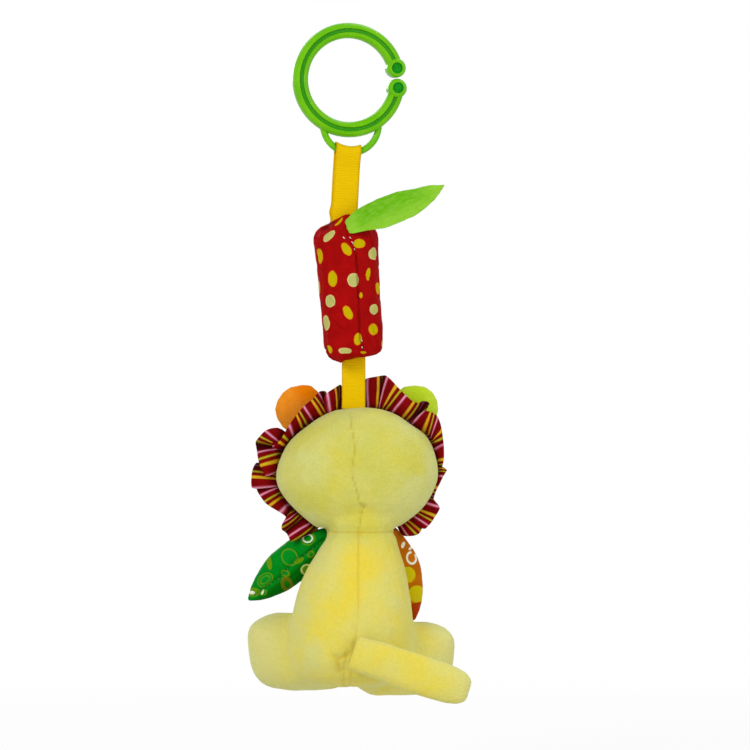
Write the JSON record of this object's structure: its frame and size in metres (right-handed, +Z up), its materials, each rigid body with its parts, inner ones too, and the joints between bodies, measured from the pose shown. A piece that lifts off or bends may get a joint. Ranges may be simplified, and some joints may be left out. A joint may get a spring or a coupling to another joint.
{
  "type": "plush hand rattle",
  "caption": "Hanging plush lion rattle: split plastic ring, ribbon straps, printed cloth sleeve with a rod chime inside, stuffed lion with gathered mane, patterned arms and a tail.",
  "frame": {"origin": "top of the inside of the hanging ring, where the toy hangs", "axes": "+Z up along the hanging toy, -Y out of the lion's back, +Y out of its face, +X to the right as seen from behind"},
  "size_m": [0.1238, 0.1069, 0.3775],
  "materials": {
    "ring_plastic": "gloss",
    "ribbon": "satin",
    "sleeve_cloth": "matte",
    "leaf_cloth": "matte",
    "wadding": "matte",
    "case_plastic": "satin",
    "rod_steel": "satin",
    "striker_brass": "satin",
    "body_plush": "matte",
    "muzzle_plush": "matte",
    "nose_cloth": "matte",
    "mane_cloth": "matte",
    "ear_left_plush": "matte",
    "ear_right_plush": "matte",
    "arm_left_cloth": "matte",
    "arm_right_cloth": "matte"
  },
  "bodies": {
    "ring": {"hang_ring": "ring_plastic"},
    "ribbon": {"upper_strap": "ribbon"},
    "sleeve": {"sleeve_cover": "sleeve_cloth", "sleeve_top": "sleeve_cloth", "sleeve_base": "sleeve_cloth", "sleeve_wadding": "wadding", "chime_case": "case_plastic", "chime_cap": "case_plastic", "chime_plate": "case_plastic", "chime_rod_1": "rod_steel", "chime_rod_2": "rod_steel", "chime_rod_3": "rod_steel", "chime_rod_4": "rod_steel"},
    "striker": {"striker": "striker_brass"},
    "leaf": {"leaf": "leaf_cloth"},
    "lower_ribbon": {"lower_strap": "ribbon"},
    "lion": {"head_back": "body_plush", "head_front": "body_plush", "muzzle": "muzzle_plush", "nose": "nose_cloth", "mane": "mane_cloth", "body": "body_plush", "leg_left": "body_plush", "leg_right": "body_plush"},
    "ear_left": {"ear_left": "ear_left_plush"},
    "ear_right": {"ear_right": "ear_right_plush"},
    "arm_left": {"arm_left": "arm_left_cloth"},
    "arm_right": {"arm_right": "arm_right_cloth"},
    "tail": {"tail": "body_plush"}
  },
  "joints": [
    {"name": "ribbon_swing", "type": "hinge", "parent": "ring", "child": "ribbon", "pos_m": [-0.00051, -0.00012, -0.06311], "axis": [0.9681, 0.2235, -0.1132], "range_deg": [-50, 50]},
    {"name": "sleeve_swing", "type": "hinge", "parent": "ribbon", "child": "sleeve", "pos_m": [-0.00234, -0.00012, -0.10022], "axis": [0.9979, 0, 0.0645], "range_deg": [-35, 40]},
    {"name": "striker_swing", "type": "hinge", "parent": "sleeve", "child": "striker", "pos_m": [-0.00087, -0.00012, -0.12297], "axis": [0.9979, 0, 0.0645], "range_deg": [-7, 7]},
    {"name": "leaf_flex", "type": "hinge", "parent": "sleeve", "child": "leaf", "pos_m": [-0.00074, -0.01302, -0.10633], "axis": [0.228, -0.6515, -0.7236], "range_deg": [-5, 50], "stiffness_Nm_per_rad": 0.004},
    {"name": "strap_swing", "type": "hinge", "parent": "sleeve", "child": "lower_ribbon", "pos_m": [0.00276, -0.00012, -0.17915], "axis": [0.9979, 0, 0.0645], "range_deg": [-40, 40]},
    {"name": "lion_swing", "type": "hinge", "parent": "lower_ribbon", "child": "lion", "pos_m": [0.00276, -0.00012, -0.20685], "axis": [1, 0, 0], "range_deg": [-40, 25]},
    {"name": "ear_left_fold", "type": "hinge", "parent": "lion", "child": "ear_left", "pos_m": [-0.0194, 0.01778, -0.21625], "axis": [-0.7229, 0, -0.691], "range_deg": [0, 25], "stiffness_Nm_per_rad": 0.02},
    {"name": "ear_right_fold", "type": "hinge", "parent": "lion", "child": "ear_right", "pos_m": [0.02932, 0.01778, -0.21633], "axis": [-0.7303, 0, 0.6831], "range_deg": [0, 25], "stiffness_Nm_per_rad": 0.02},
    {"name": "arm_left_lift", "type": "hinge", "parent": "lion", "child": "arm_left", "pos_m": [-0.01404, 0.00388, -0.28035], "axis": [1, 0, 0], "range_deg": [0, 40], "stiffness_Nm_per_rad": 0.02},
    {"name": "arm_right_lift", "type": "hinge", "parent": "lion", "child": "arm_right", "pos_m": [0.02456, 0.00388, -0.27915], "axis": [1, 0, 0], "range_deg": [0, 45], "stiffness_Nm_per_rad": 0.02},
    {"name": "tail_swing", "type": "hinge", "parent": "lion", "child": "tail", "pos_m": [0.00376, -0.03884, -0.34135], "axis": [-0.3073, 0.0323, -0.9511], "range_deg": [0, 80], "stiffness_Nm_per_rad": 0.01}
  ]
}
